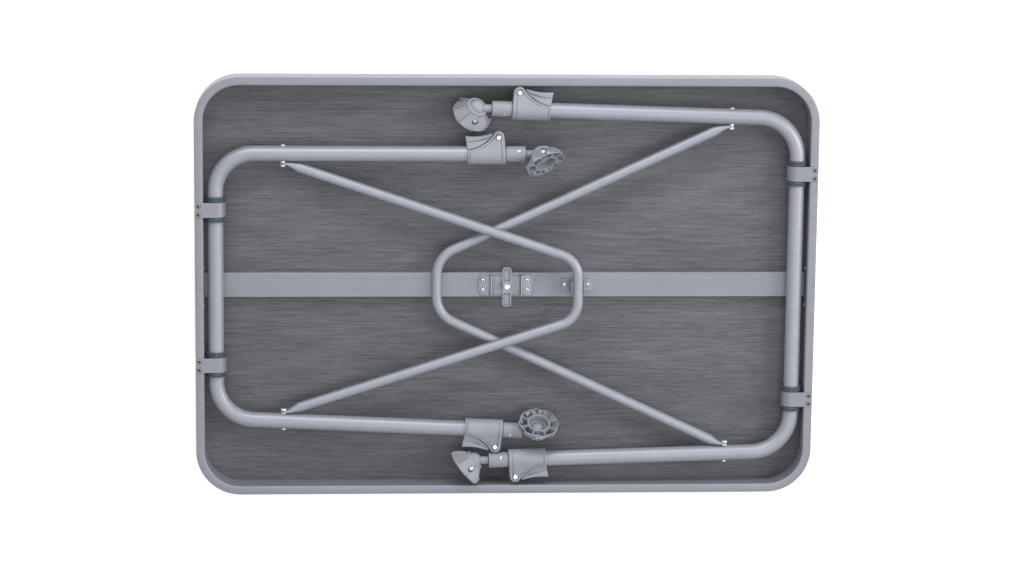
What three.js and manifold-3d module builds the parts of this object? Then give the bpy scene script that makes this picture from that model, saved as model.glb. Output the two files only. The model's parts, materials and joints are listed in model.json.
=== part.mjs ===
import * as THREE from "three";
import { mergeVertices } from "three/addons/utils/BufferGeometryUtils.js";
import Module from "manifold-3d";

// A folding camping table, lying folded on its top with its underside up, in millimetres.
// +X runs along the long side, +Y across it and +Z up, from the table top to the folded legs.
// The origin is the middle of the frame's lower edge.

const wasm = await Module();
wasm.setup();

// Gap between pieces that touch, and the number of sides of a fastener, a tube and a foot.
const GAP = 0.3;
const SIDES = 8;
const TUBE_SIDES = 16;
const FOOT_SIDES = 16;

// Top: a board in a rounded frame of hollow rail, in two halves that meet at the middle of the short sides.
const LENGTH = 1000;
const WIDTH = 680;
const RAIL_HEIGHT = 49;
const RAIL_WIDTH = 14;
const RAIL_WALL = 1.6;
const CORNER_RADIUS = 72;
const CORNER_STEPS = 8;
const BOARD_INSET = 8;
const BOARD_BOTTOM = 0.5;
const BOARD_THICKNESS = 5;
const JOINER_LENGTH = 90;

// Centre rail: a flat hollow rail along the board, between the short sides.
const CENTRE_RAIL = { width: 40, height: 13, wall: 1.5, grooves: 6, grooveWidth: 1.6, grooveDepth: 0.6 };

// Leg frames: a cross tube that turns in two straps, and a leg bent out of each end.
const TUBE_RADIUS = 12.5;
const TUBE_BORE = 11.5;
const PIVOT_X = 467;
const PIVOT_Z = 34.5;
const LEG_TILT = THREE.MathUtils.degToRad(1.2);
const BEND_RADIUS = { left: 62, right: 65 };
const BEND_STEPS = 5;
const STRAP_Y = { left: 126.2, right: 185.4 };

// Distances along a leg, from the cross tube's axis.
const ALONG = {
  braceBolt: 108,
  lowerTubeStart: 193.5,
  clampStart: 401.5,
  pin: 451.5,
  upperTubeEnd: 454.5,
  clampEnd: 462.5,
  plugStart: 463,
  plugEnd: 494.5,
  ball: 519,
};

// Each leg: where it leaves the cross tube, how far it splays outward in degrees, which way its foot
// faces (the direction from the ball to the ground), and the side of the foot that its screw is on.
const LEGS = [
  { name: "left_rear", frame: "left", y: 216.1, splay: 0.1, faces: [0.39, -0.74, 0.55], screwSide: 1 },
  { name: "left_front", frame: "left", y: -215.8, splay: 2.4, faces: [0.09, 0.84, 0.53], screwSide: -1 },
  { name: "right_rear", frame: "right", y: 273.6, splay: 1.91, faces: [-0.37, -0.65, -0.66], screwSide: -1 },
  { name: "right_front", frame: "right", y: -274.1, splay: 1.28, faces: [-0.76, -0.65, -0.1], screwSide: -1 },
];

// Braces: a bent tube from leg to leg, with its cross bar over the far side of the centre bracket.
const BRACE_RADIUS = 8;
const BRACES = {
  left: { barX: 114.7, barZ: 49.2, cornerY: [45, -51.6], bend: 38 },
  right: { barX: -112.5, barZ: 27.2, cornerY: [47, -47], bend: 46 },
};
const BRACE_BEND_STEPS = 3;
const BRACE_SIDES = 10;
const TAB = { offset: 16, thickness: 4, root: 22, tubeOffset: 21.5 };
const BOLT = { radius: 3, hole: 3.4, headRadius: 5, headHeight: 3 };

// Strap and bushing round the cross tube.
const STRAP = { width: 24, thickness: 1.5, innerRadius: 14.8, tabEnd: 499.5, arcSteps: 10 };
const BUSHING = { length: 41, bore: 13, bodyRadius: 14.2, flangeRadius: 15.5, flange: 7.6 };

// Clamp and lever at the end of each upper leg tube.
const CLAMP = { radius: 16.7, thickness: 18, lobeRadius: 9, pinOffset: 27.5, bore: 12.9, endBore: 11.6 };
const LEVER = { edge: 30, hub: 8, hubThickness: 9.4, flare: 3, gap: 0.8 };
const PIN_RADIUS = 2.2;

// Foot: a round pad with a cup that holds the ball of the leg's stud.
const BALL_RADIUS = 13.5;
const STEM_RADIUS = 6.5;
const NECK_RADIUS = 3;
const FOOT = { rimRadius: 33, rimDrop: 20, rimHeight: 3, cupRadius: 17, cupTop: 5, socket: 14.2, slot: 14.4 };
const RECESS = { radius: 15, depth: 3.4, ringInner: 18, ringOuter: 30.5, ringDepth: 5 };
const SCREW = { radius: 1.8, headRadius: 3.4, reach: 17.6, drop: 9 };

// Centre bracket, latch wing and storage clip on the centre rail.
const BRACKET = { halfLength: 44, width: 35, plate: 2, wallX: 24.5, wallTop: 34, boss: 6.5, bossTop: 36.2 };
const WING = { halfSpan: 32, width: 14.6, bottom: 36.6, thickness: 5.2, rim: 1.6, pocket: 1.6 };
const CLIP = { from: 89, to: 140, width: 19.5, bar: 114.7, jawGap: 17.4, jawWall: 2, top: 50, plate: 2 };

const materials = {
  rail: new THREE.MeshStandardMaterial({ color: 0x9a9da6, roughness: 0.42, metalness: 0.75 }),
  tube: new THREE.MeshStandardMaterial({ color: 0x9b9ea7, roughness: 0.45, metalness: 0.6 }),
  board: new THREE.MeshStandardMaterial({ color: 0x4a4a4e, roughness: 0.62, metalness: 0 }),
  plastic: new THREE.MeshStandardMaterial({ color: 0x8f929a, roughness: 0.55, metalness: 0 }),
  bushing: new THREE.MeshStandardMaterial({ color: 0x46535c, roughness: 0.5, metalness: 0 }),
  steel: new THREE.MeshStandardMaterial({ color: 0xd8dade, roughness: 0.25, metalness: 1 }),
};

// --- Solids ---------------------------------------------------------------------------------------

/** A manifold solid from a closed three.js geometry. */
function solidOf(geometry) {
  const bare = geometry.clone();
  bare.deleteAttribute("normal");
  bare.deleteAttribute("uv");
  const merged = mergeVertices(bare, 1e-4);
  const corners = merged.index.array;
  const triangles = [];
  for (let i = 0; i < corners.length; i += 3) {
    const [a, b, c] = [corners[i], corners[i + 1], corners[i + 2]];
    if (a !== b && b !== c && c !== a) triangles.push(a, b, c);
  }
  const vertProperties = Float32Array.from(merged.attributes.position.array);
  return new wasm.Manifold(new wasm.Mesh({ numProp: 3, vertProperties, triVerts: Uint32Array.from(triangles) }));
}

/** A three.js geometry from a manifold solid. */
function geometryOf(solid) {
  const mesh = solid.getMesh();
  const geometry = new THREE.BufferGeometry();
  geometry.setAttribute("position", new THREE.BufferAttribute(mesh.vertProperties, 3));
  geometry.setIndex(new THREE.BufferAttribute(mesh.triVerts, 1));
  geometry.computeVertexNormals();
  return geometry;
}

/** A box from its lowest to its highest corner. */
function box(low, high) {
  const geometry = new THREE.BoxGeometry(high[0] - low[0], high[1] - low[1], high[2] - low[2]);
  geometry.translate((low[0] + high[0]) / 2, (low[1] + high[1]) / 2, (low[2] + high[2]) / 2);
  return solidOf(geometry);
}

/** A cylinder of the given radius between two points. */
function rod(radius, start, end, sides = SIDES) {
  const from = new THREE.Vector3(...start);
  const along = new THREE.Vector3(...end).sub(from);
  const geometry = new THREE.CylinderGeometry(radius, radius, along.length(), sides);
  geometry.rotateX(Math.PI / 2);
  geometry.translate(0, 0, along.length() / 2);
  geometry.applyQuaternion(new THREE.Quaternion().setFromUnitVectors(new THREE.Vector3(0, 0, 1), along.normalize()));
  geometry.translate(from.x, from.y, from.z);
  return solidOf(geometry);
}

/** A ball at the origin, or at a place along X. */
function ball(radius, x = 0) {
  return solidOf(new THREE.SphereGeometry(radius, TUBE_SIDES, TUBE_SIDES / 2).translate(x, 0, 0));
}

/** A flat shape given a thickness along Z, between two heights. */
function slab(shape, bottom, top, steps = SIDES / 2) {
  const options = { depth: top - bottom, bevelEnabled: false, curveSegments: steps };
  return solidOf(new THREE.ExtrudeGeometry(shape, options).translate(0, 0, bottom));
}

/** The outline of a rectangle about the origin with round corners. */
function roundedRectangle(halfX, halfY, radius) {
  const shape = new THREE.Shape();
  shape.moveTo(halfX, radius - halfY);
  shape.lineTo(halfX, halfY - radius);
  shape.absarc(halfX - radius, halfY - radius, radius, 0, Math.PI / 2, false);
  shape.lineTo(radius - halfX, halfY);
  shape.absarc(radius - halfX, halfY - radius, radius, Math.PI / 2, Math.PI, false);
  shape.lineTo(-halfX, radius - halfY);
  shape.absarc(radius - halfX, radius - halfY, radius, Math.PI, 1.5 * Math.PI, false);
  shape.lineTo(halfX - radius, -halfY);
  shape.absarc(halfX - radius, radius - halfY, radius, 1.5 * Math.PI, 2 * Math.PI, false);
  return shape;
}

/** A path of straight runs joined by round bends, with a station only where a run ends and along each bend. */
class BentPath extends THREE.Curve {
  constructor(corners, bendRadius, bendSteps) {
    super();
    this.points = [corners[0]];
    this.tangents = [direction(corners[0], corners[1])];
    for (let i = 1; i < corners.length - 1; i++) {
      this.addBend(corners[i - 1], corners[i], corners[i + 1], bendRadius, bendSteps);
    }
    this.points.push(corners.at(-1));
    this.tangents.push(direction(corners.at(-2), corners.at(-1)));
    this.steps = this.points.length - 1;
  }

  addBend(before, corner, after, radius, steps) {
    const inward = direction(before, corner);
    const outward = direction(corner, after);
    const turn = inward.angleTo(outward);
    const side = outward.clone().addScaledVector(inward, -Math.cos(turn)).normalize();
    const start = corner.clone().addScaledVector(inward, -radius * Math.tan(turn / 2));
    for (let i = 0; i <= steps; i++) {
      const angle = (turn * i) / steps;
      const point = start.clone().addScaledVector(inward, radius * Math.sin(angle));
      point.addScaledVector(side, radius * (1 - Math.cos(angle)));
      this.points.push(point);
      this.tangents.push(inward.clone().multiplyScalar(Math.cos(angle)).addScaledVector(side, Math.sin(angle)));
    }
  }

  getUtoTmapping(u) {
    return u;
  }

  getPoint(t, target = new THREE.Vector3()) {
    return target.copy(this.points[Math.round(t * this.steps)]);
  }

  getTangent(t, target = new THREE.Vector3()) {
    return target.copy(this.tangents[Math.round(t * this.steps)]);
  }
}

function direction(from, to) {
  return to.clone().sub(from).normalize();
}

/** A round bar along a bent path, hollow if a bore is given. */
function bentTube(path, sides, radius, bore) {
  const section = new THREE.Shape().absarc(0, 0, radius, 0, 2 * Math.PI, false);
  if (bore) section.holes.push(new THREE.Path().absarc(0, 0, bore, 0, 2 * Math.PI, true));
  const options = { steps: path.steps, extrudePath: path, curveSegments: sides / 2 };
  return solidOf(new THREE.ExtrudeGeometry(section, options));
}

const group = new THREE.Group();

/** Adds one piece to a group, as a named mesh. */
function add(name, solid, material, parent = group) {
  const mesh = new THREE.Mesh(geometryOf(solid), material);
  mesh.name = name;
  parent.add(mesh);
}

// --- Table top ------------------------------------------------------------------------------------

/** A slab with the frame's outline, set in from its outer edge. */
function frameSlab(inset, bottom, top) {
  const outline = roundedRectangle(LENGTH / 2 - inset, WIDTH / 2 - inset, CORNER_RADIUS - inset);
  return slab(outline, bottom, top, CORNER_STEPS / 2);
}

/** The whole hollow ring of rail, before it is parted at the two seams. */
function railRing() {
  const boardTop = BOARD_BOTTOM + BOARD_THICKNESS + GAP;
  const hollowBottom = boardTop + RAIL_WALL;
  const hollowTop = RAIL_HEIGHT - RAIL_WALL;
  const hollow = frameSlab(RAIL_WALL, hollowBottom, hollowTop).subtract(
    frameSlab(RAIL_WIDTH - RAIL_WALL, hollowBottom - 1, hollowTop + 1),
  );
  return frameSlab(0, 0, RAIL_HEIGHT)
    .subtract(frameSlab(RAIL_WIDTH, -1, RAIL_HEIGHT + 1))
    .subtract(frameSlab(BOARD_INSET - GAP, -1, boardTop))
    .subtract(hollow);
}

function addTop() {
  const ring = railRing();
  for (const [name, side] of [["frame_rear", 1], ["frame_front", -1]]) {
    const near = (side * GAP) / 2;
    const far = side * WIDTH;
    const half = box([-LENGTH, Math.min(near, far), -1], [LENGTH, Math.max(near, far), RAIL_HEIGHT + 1]);
    add(name, ring.intersect(half), materials.rail);
  }

  const joinerBottom = BOARD_BOTTOM + BOARD_THICKNESS + GAP + RAIL_WALL + GAP;
  const joinerTop = RAIL_HEIGHT - RAIL_WALL - GAP;
  const joinerOuter = LENGTH / 2 - RAIL_WALL - GAP;
  const joinerInner = LENGTH / 2 - RAIL_WIDTH + RAIL_WALL + GAP;
  for (const [name, side] of [["joiner_left", -1], ["joiner_right", 1]]) {
    const edges = [side * joinerInner, side * joinerOuter].sort((a, b) => a - b);
    const halfLength = JOINER_LENGTH / 2;
    add(name, box([edges[0], -halfLength, joinerBottom], [edges[1], halfLength, joinerTop]), materials.plastic);
  }

  const boardTop = BOARD_BOTTOM + BOARD_THICKNESS;
  add("table_board", frameSlab(BOARD_INSET, BOARD_BOTTOM, boardTop), materials.board);
  add("centre_rail", centreRail(boardTop + GAP), materials.rail);
}

function centreRail(bottom) {
  const { width, height, wall, grooves, grooveWidth, grooveDepth } = CENTRE_RAIL;
  const end = LENGTH / 2 - RAIL_WIDTH - GAP;
  const top = bottom + height;
  let rail = box([-end, -width / 2, bottom], [end, width / 2, top]);
  rail = rail.subtract(box([-end - 1, wall - width / 2, bottom + wall], [end + 1, width / 2 - wall, top - wall]));
  for (let i = 0; i < grooves; i++) {
    const y = width * ((i + 1) / (grooves + 1) - 0.5);
    const low = [-end - 1, y - grooveWidth / 2, top - grooveDepth];
    rail = rail.subtract(box(low, [end + 1, y + grooveWidth / 2, top + 1]));
  }
  return rail;
}

// --- Bracket, latch and clip on the centre rail -----------------------------------------------------

const RAIL_TOP = BOARD_BOTTOM + BOARD_THICKNESS + GAP + CENTRE_RAIL.height;

/** A shape with round ends, its length along Y. */
function roundEnded(halfLength, halfWidth) {
  const shape = new THREE.Shape();
  shape.absarc(0, halfLength - halfWidth, halfWidth, 0, Math.PI, false);
  shape.absarc(0, halfWidth - halfLength, halfWidth, Math.PI, 2 * Math.PI, false);
  return shape;
}

function addBracket() {
  const { halfLength, width, plate, wallX, wallTop, boss, bossTop } = BRACKET;
  const bottom = RAIL_TOP + GAP;
  let bracket = slab(roundedRectangle(halfLength, width / 2, 4), bottom, bottom + plate);
  for (const side of [-1, 1]) {
    const x = side * wallX;
    bracket = bracket.add(box([x - 1, -width / 2, bottom], [x + 1, width / 2, wallTop]));
  }
  bracket = bracket.add(rod(boss, [0, 0, bottom], [0, 0, bossTop]));
  bracket = bracket.subtract(rod(PIN_RADIUS + GAP, [0, 0, bottom + plate], [0, 0, bossTop + 1]));
  add("brace_bracket", bracket, materials.rail);
}

function addLatch() {
  const { halfSpan, width, bottom, thickness, rim, pocket } = WING;
  const top = bottom + thickness;
  let wing = slab(roundEnded(halfSpan, width / 2), bottom, top);
  const pocketEnd = halfSpan - rim;
  const pocketStart = BRACKET.boss + 1;
  for (const side of [-1, 1]) {
    const half = box([-width, Math.min(side * pocketStart, side * halfSpan), top - pocket],
      [width, Math.max(side * pocketStart, side * halfSpan), top + 1]);
    wing = wing.subtract(slab(roundEnded(pocketEnd, width / 2 - rim), top - pocket, top + 1).intersect(half));
  }
  wing = wing.subtract(rod(PIN_RADIUS + GAP, [0, 0, bottom - 1], [0, 0, top + 1]));
  add("latch_wing", wing, materials.plastic);

  const shank = rod(PIN_RADIUS, [0, 0, RAIL_TOP + GAP + BRACKET.plate + GAP], [0, 0, top + GAP]);
  const head = rod(BRACKET.boss - 2, [0, 0, top + GAP], [0, 0, top + GAP + 1.4]);
  add("latch_screw", shank.add(head), materials.steel);
}

function addClip() {
  const { from, to, width, bar, jawGap, jawWall, top, plate } = CLIP;
  const bottom = RAIL_TOP + GAP;
  const middle = (from + to) / 2;
  let clip = slab(roundedRectangle((to - from) / 2, width / 2, 4), bottom, bottom + plate).translate(middle, 0, 0);
  for (const side of [-1, 1]) {
    const x = bar + side * (jawGap / 2 + jawWall / 2);
    clip = clip.add(box([x - jawWall / 2, -width / 2, bottom], [x + jawWall / 2, width / 2, top]));
  }
  add("storage_clip", clip, materials.plastic);
}

// --- Straps and bushings ----------------------------------------------------------------------------

/** The strap's section across the tube: a tab on the rail's face, the loop, and a tail under the tube. */
function strapShape(side) {
  const { thickness, innerRadius, tabEnd } = STRAP;
  const outerRadius = innerRadius + thickness;
  const x = (distance) => side * distance;
  const tailEnd = LENGTH / 2 - RAIL_WIDTH - GAP;
  const shape = new THREE.Shape();
  const [top, bottom] = [Math.PI / 2, -Math.PI / 2];
  shape.moveTo(x(tabEnd), PIVOT_Z + innerRadius);
  shape.lineTo(x(tabEnd), PIVOT_Z + outerRadius);
  shape.lineTo(x(PIVOT_X), PIVOT_Z + outerRadius);
  shape.absarc(x(PIVOT_X), PIVOT_Z, outerRadius, top, bottom, side < 0);
  shape.lineTo(x(tailEnd), PIVOT_Z - outerRadius);
  shape.lineTo(x(tailEnd), PIVOT_Z - innerRadius);
  shape.lineTo(x(PIVOT_X), PIVOT_Z - innerRadius);
  shape.absarc(x(PIVOT_X), PIVOT_Z, innerRadius, bottom, top, side > 0);
  return shape;
}

/** A shape drawn across X and Z, given a thickness along Y about a middle place. */
function acrossY(shape, middle, thickness, steps = SIDES / 2) {
  const options = { depth: thickness, bevelEnabled: false, curveSegments: steps };
  const geometry = new THREE.ExtrudeGeometry(shape, options).translate(0, 0, -thickness / 2);
  return solidOf(geometry.rotateX(Math.PI / 2).translate(0, middle, 0));
}

function addStrapAndBushing(leg) {
  const side = leg.frame === "left" ? -1 : 1;
  const y = Math.sign(leg.y) * STRAP_Y[leg.frame];
  add(`strap_${leg.name}`, acrossY(strapShape(side), y, STRAP.width, STRAP.arcSteps / 2), materials.rail);

  const x = side * PIVOT_X;
  const { length, bore, bodyRadius, flangeRadius, flange } = BUSHING;
  const ring = (radius, from, to) => rod(radius, [x, from, PIVOT_Z], [x, to, PIVOT_Z], TUBE_SIDES);
  let bushing = ring(bodyRadius, y - length / 2, y + length / 2);
  for (const end of [-1, 1]) {
    const outer = y + (end * length) / 2;
    bushing = bushing.add(ring(flangeRadius, outer - end * flange, outer));
  }
  add(`bushing_${leg.name}`, bushing.subtract(ring(bore, y - length, y + length)), materials.bushing);
}

// --- Legs -------------------------------------------------------------------------------------------

/** A leg's own frame: X along the leg to the foot, Z up, from the cross tube's axis. */
function legMatrix(leg) {
  const inward = leg.frame === "left" ? 1 : -1;
  const splay = THREE.MathUtils.degToRad(leg.splay);
  const flat = new THREE.Vector3(inward * Math.cos(splay), Math.sign(leg.y) * Math.sin(splay), 0);
  const along = flat.multiplyScalar(Math.cos(LEG_TILT)).setZ(Math.sin(LEG_TILT));
  const across = new THREE.Vector3(0, 0, 1).cross(along).normalize();
  const up = along.clone().cross(across);
  return new THREE.Matrix4().makeBasis(along, across, up).setPosition(-inward * PIVOT_X, leg.y, PIVOT_Z);
}

/** A point at a distance along a leg, in the table's frame. */
function alongLeg(leg, distance) {
  return new THREE.Vector3(distance, 0, 0).applyMatrix4(legMatrix(leg));
}

/** +1 where the table's outer side is on the leg's own +Y side, and -1 where it is on the other. */
function outerSide(leg) {
  return leg.frame === "left" ? Math.sign(leg.y) : -Math.sign(leg.y);
}

function addLegTube(frame) {
  const pair = LEGS.filter((leg) => leg.frame === frame);
  const corners = [
    alongLeg(pair[0], ALONG.upperTubeEnd),
    alongLeg(pair[0], 0),
    alongLeg(pair[1], 0),
    alongLeg(pair[1], ALONG.upperTubeEnd),
  ];
  let tube = bentTube(new BentPath(corners, BEND_RADIUS[frame], BEND_STEPS), TUBE_SIDES, TUBE_RADIUS, TUBE_BORE);
  for (const leg of pair) {
    const bolt = alongLeg(leg, ALONG.braceBolt);
    tube = tube.subtract(rod(BOLT.hole, [bolt.x, bolt.y - 20, bolt.z], [bolt.x, bolt.y + 20, bolt.z]));
  }
  add(`leg_tube_${frame}`, tube, materials.tube);
}

/** The flat end of a brace, beside its leg, with the bolt's hole. */
function braceTab(leg) {
  const bolt = alongLeg(leg, ALONG.braceBolt);
  const inward = leg.frame === "left" ? 1 : -1;
  const y = bolt.y - Math.sign(leg.y) * TAB.offset;
  const plate = box(
    [Math.min(0, inward * TAB.root), y - TAB.thickness / 2, -BRACE_RADIUS],
    [Math.max(0, inward * TAB.root), y + TAB.thickness / 2, BRACE_RADIUS],
  ).translate(bolt.x, 0, bolt.z);
  const tip = rod(BRACE_RADIUS, [bolt.x, y - TAB.thickness / 2, bolt.z], [bolt.x, y + TAB.thickness / 2, bolt.z]);
  const hole = rod(BOLT.hole, [bolt.x, y - 10, bolt.z], [bolt.x, y + 10, bolt.z]);
  const rootY = bolt.y - Math.sign(leg.y) * TAB.tubeOffset;
  const root = new THREE.Vector3(bolt.x + inward * (TAB.root - 4), rootY, bolt.z);
  return { tab: plate.add(tip).subtract(hole), root };
}

function addBrace(frame) {
  const ends = LEGS.filter((leg) => leg.frame === frame).map(braceTab);
  const { barX, barZ, cornerY, bend } = BRACES[frame];
  const bar = cornerY.map((y) => new THREE.Vector3(barX, y, barZ));
  const path = new BentPath([ends[0].root, bar[0], bar[1], ends[1].root], bend, BRACE_BEND_STEPS);
  const brace = bentTube(path, BRACE_SIDES, BRACE_RADIUS).add(ends[0].tab).add(ends[1].tab);
  add(`brace_${frame}`, brace, materials.tube);
}

function addBraceBolt(leg) {
  const bolt = alongLeg(leg, ALONG.braceBolt);
  const outward = Math.sign(leg.y);
  const at = (offset) => [bolt.x, bolt.y + outward * offset, bolt.z];
  const headStart = -TAB.offset - TAB.thickness / 2 - GAP;
  const endStart = TUBE_RADIUS + GAP;
  const solid = rod(BOLT.radius, at(headStart - 1), at(endStart + 1))
    .add(rod(BOLT.headRadius, at(headStart - BOLT.headHeight), at(headStart)))
    .add(rod(BOLT.headRadius - 0.5, at(endStart), at(endStart + BOLT.headHeight - 0.5)));
  add(`brace_bolt_${leg.name}`, solid, materials.steel);
}

// --- Clamp and lever --------------------------------------------------------------------------------

/** The curve that parts the clamp's cheek from the lever, offset outward by a distance. */
function addCheekCurve(shape, outer, offset) {
  const startX = ALONG.pin - CLAMP.lobeRadius - offset;
  shape.lineTo(startX, outer * (CLAMP.pinOffset + offset));
  shape.quadraticCurveTo(ALONG.pin - 14 - offset, outer * (15.5 + offset), ALONG.clampStart, outer * (14 + offset));
}

function clampBody(outer) {
  const half = CLAMP.thickness / 2;
  const pin = [ALONG.pin, outer * CLAMP.pinOffset];
  const cheek = new THREE.Shape();
  cheek.moveTo(ALONG.clampEnd - 1, 0);
  cheek.lineTo(ALONG.pin + CLAMP.lobeRadius, pin[1]);
  addCheekCurve(cheek, outer, 0);
  cheek.lineTo(ALONG.clampStart, 0);
  const slotHalf = LEVER.hubThickness / 2 + GAP;
  const slotRadius = CLAMP.lobeRadius + 2.2;
  const round = (radius, from, to) => rod(radius, [from, 0, 0], [to, 0, 0], TUBE_SIDES);
  return round(CLAMP.radius, ALONG.clampStart, ALONG.clampEnd)
    .add(slab(cheek, -half, half))
    .add(rod(CLAMP.lobeRadius, [...pin, -half], [...pin, half]))
    .subtract(rod(slotRadius, [...pin, -slotHalf], [...pin, slotHalf]))
    .subtract(rod(PIN_RADIUS + GAP, [...pin, -half - 1], [...pin, half + 1]))
    .subtract(round(CLAMP.bore, ALONG.clampStart - 1, ALONG.upperTubeEnd + GAP))
    .subtract(round(CLAMP.endBore, ALONG.clampStart, ALONG.clampEnd + 1));
}

function clampLever(outer) {
  const half = CLAMP.thickness / 2;
  const pin = [ALONG.pin, outer * CLAMP.pinOffset];
  const hub = LEVER.hubThickness / 2;
  const wedge = new THREE.Shape();
  wedge.moveTo(ALONG.pin - CLAMP.lobeRadius - LEVER.gap - 1, outer * LEVER.edge);
  addCheekCurve(wedge, outer, LEVER.gap);
  wedge.lineTo(ALONG.clampStart - LEVER.flare, outer * LEVER.edge);
  const edges = [outer * (LEVER.edge - 3.2), outer * LEVER.edge].sort((a, b) => a - b);
  const arm = box([ALONG.pin - CLAMP.lobeRadius - 4, edges[0], -hub], [ALONG.pin, edges[1], hub]);
  const body = [[ALONG.clampStart - 10, 0, 0], [ALONG.clampEnd, 0, 0]];
  return slab(wedge, -half, half)
    .subtract(rod(CLAMP.radius + LEVER.gap, ...body, TUBE_SIDES))
    .add(arm)
    .add(rod(LEVER.hub, [...pin, -hub], [...pin, hub]))
    .subtract(rod(PIN_RADIUS + GAP, [...pin, -half], [...pin, half]));
}

function addClamp(leg, parent) {
  const outer = outerSide(leg);
  const half = CLAMP.thickness / 2;
  const pin = [ALONG.pin, outer * CLAMP.pinOffset];
  add(`clamp_body_${leg.name}`, clampBody(outer), materials.plastic, parent);
  add(`clamp_lever_${leg.name}`, clampLever(outer), materials.plastic, parent);
  const head = rod(PIN_RADIUS + 1.6, [...pin, half + GAP], [...pin, half + GAP + 1.6]);
  const tail = rod(PIN_RADIUS + 1.2, [...pin, -half - GAP - 1.2], [...pin, -half - GAP]);
  const shank = rod(PIN_RADIUS, [...pin, -half - GAP - 1], [...pin, half + GAP + 1]);
  add(`lever_pin_${leg.name}`, shank.add(head).add(tail), materials.steel, parent);
}

// --- Lower leg, ball stud and foot --------------------------------------------------------------------

function addLowerLeg(leg, parent) {
  const wall = 1.2;
  const outerRadius = TUBE_BORE - 0.5;
  const bore = outerRadius - wall;
  const tubeEnd = ALONG.plugStart - GAP;
  const round = (radius, from, to) => rod(radius, [from, 0, 0], [to, 0, 0], TUBE_SIDES);
  const start = ALONG.lowerTubeStart;
  const tube = round(outerRadius, start, tubeEnd).subtract(round(bore, start - 1, tubeEnd + 1));
  add(`lower_leg_${leg.name}`, tube, materials.tube, parent);

  const socketDepth = 16;
  const plug = round(TUBE_RADIUS, ALONG.plugStart, ALONG.plugEnd)
    .add(round(bore - GAP, ALONG.plugStart - 20, ALONG.plugStart + 1))
    .subtract(rod(NECK_RADIUS + GAP, [ALONG.plugEnd - socketDepth, 0, 0], [ALONG.plugEnd + 1, 0, 0]));
  add(`leg_plug_${leg.name}`, plug, materials.plastic, parent);

  const stud = rod(STEM_RADIUS, [ALONG.plugEnd + GAP, 0, 0], [ALONG.ball, 0, 0])
    .add(rod(NECK_RADIUS, [ALONG.plugEnd - socketDepth + 1, 0, 0], [ALONG.plugEnd + 1, 0, 0]))
    .add(ball(BALL_RADIUS, ALONG.ball));
  add(`ball_stud_${leg.name}`, stud, materials.plastic, parent);
}

/** A foot's own frame: Z away from the ground, X on the side that the leg comes in from, from the ball. */
function footMatrix(leg) {
  const toLeg = direction(alongLeg(leg, ALONG.ball), alongLeg(leg, 0));
  const up = new THREE.Vector3(...leg.faces).negate().normalize();
  const side = toLeg.addScaledVector(up, -toLeg.dot(up)).normalize();
  const matrix = new THREE.Matrix4().makeBasis(side, up.clone().cross(side), up);
  return matrix.setPosition(alongLeg(leg, ALONG.ball));
}

function footPad(screwSide) {
  const { rimRadius, rimDrop, rimHeight, cupRadius, cupTop, socket, slot } = FOOT;
  const profile = [
    [0, -rimDrop],
    [rimRadius, -rimDrop],
    [rimRadius, rimHeight - rimDrop],
    [cupRadius + 2, -8],
    [cupRadius, cupTop - 2],
    [cupRadius - 2, cupTop],
    [0, cupTop],
  ].map(([r, z]) => new THREE.Vector2(r, z));
  const lathe = new THREE.LatheGeometry(profile, FOOT_SIDES).rotateX(Math.PI / 2);
  const screw = [0, screwSide * SCREW.reach, -SCREW.drop];
  return solidOf(lathe)
    .add(rod(SCREW.headRadius + 1, [0, screwSide * (cupRadius - 2), -SCREW.drop], screw))
    .subtract(ball(socket))
    .subtract(box([0, -slot / 2, -slot / 2], [rimRadius + 1, slot / 2, cupTop + 1]))
    .subtract(rod(RECESS.radius, [0, 0, -rimDrop - 1], [0, 0, RECESS.depth - rimDrop]))
    .subtract(ringGroove())
    .subtract(rod(SCREW.headRadius + 2 * GAP, screw, [0, screw[1] * 2, screw[2]]))
    .subtract(rod(SCREW.radius + GAP, [0, screwSide * (cupRadius - 1.6), -SCREW.drop], [0, screw[1] * 2, screw[2]]));
}

/** The hollow under the pad, between the recess's wall and the rim. */
function ringGroove() {
  const { ringInner, ringOuter, ringDepth } = RECESS;
  const bottom = -FOOT.rimDrop - 1;
  const top = ringDepth - FOOT.rimDrop;
  const outer = solidOf(
    new THREE.CylinderGeometry(ringInner + 2, ringOuter, top - bottom, FOOT_SIDES)
      .rotateX(Math.PI / 2)
      .translate(0, 0, (top + bottom) / 2),
  );
  return outer.subtract(rod(ringInner, [0, 0, bottom - 1], [0, 0, top + 1], FOOT_SIDES));
}

function addFoot(leg) {
  const holder = new THREE.Group();
  holder.applyMatrix4(footMatrix(leg));
  group.add(holder);
  add(`foot_${leg.name}`, footPad(leg.screwSide), materials.plastic, holder);
  const side = leg.screwSide;
  const at = (reach) => [0, side * reach, -SCREW.drop];
  const screw = rod(SCREW.radius, at(FOOT.cupRadius - 1.2), at(SCREW.reach + 1))
    .add(rod(SCREW.headRadius, at(SCREW.reach + GAP), at(SCREW.reach + GAP + 1.8)));
  add(`foot_screw_${leg.name}`, screw, materials.steel, holder);
}

// --- Assembly -----------------------------------------------------------------------------------------

addTop();
addBracket();
addLatch();
addClip();
for (const frame of ["left", "right"]) {
  addLegTube(frame);
  addBrace(frame);
}
for (const leg of LEGS) {
  addStrapAndBushing(leg);
  addBraceBolt(leg);
  const holder = new THREE.Group();
  holder.applyMatrix4(legMatrix(leg));
  group.add(holder);
  addClamp(leg, holder);
  addLowerLeg(leg, holder);
  addFoot(leg);
}

export default group;
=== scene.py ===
"""A folding camping table, lying folded on its top, with its legs and braces up.

Lengths are in millimetres, except for the camera, the stage and the materials, which are in metres.
"""

import json
import math

import bmesh
import bpy
from mathutils import Matrix, Vector


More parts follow.
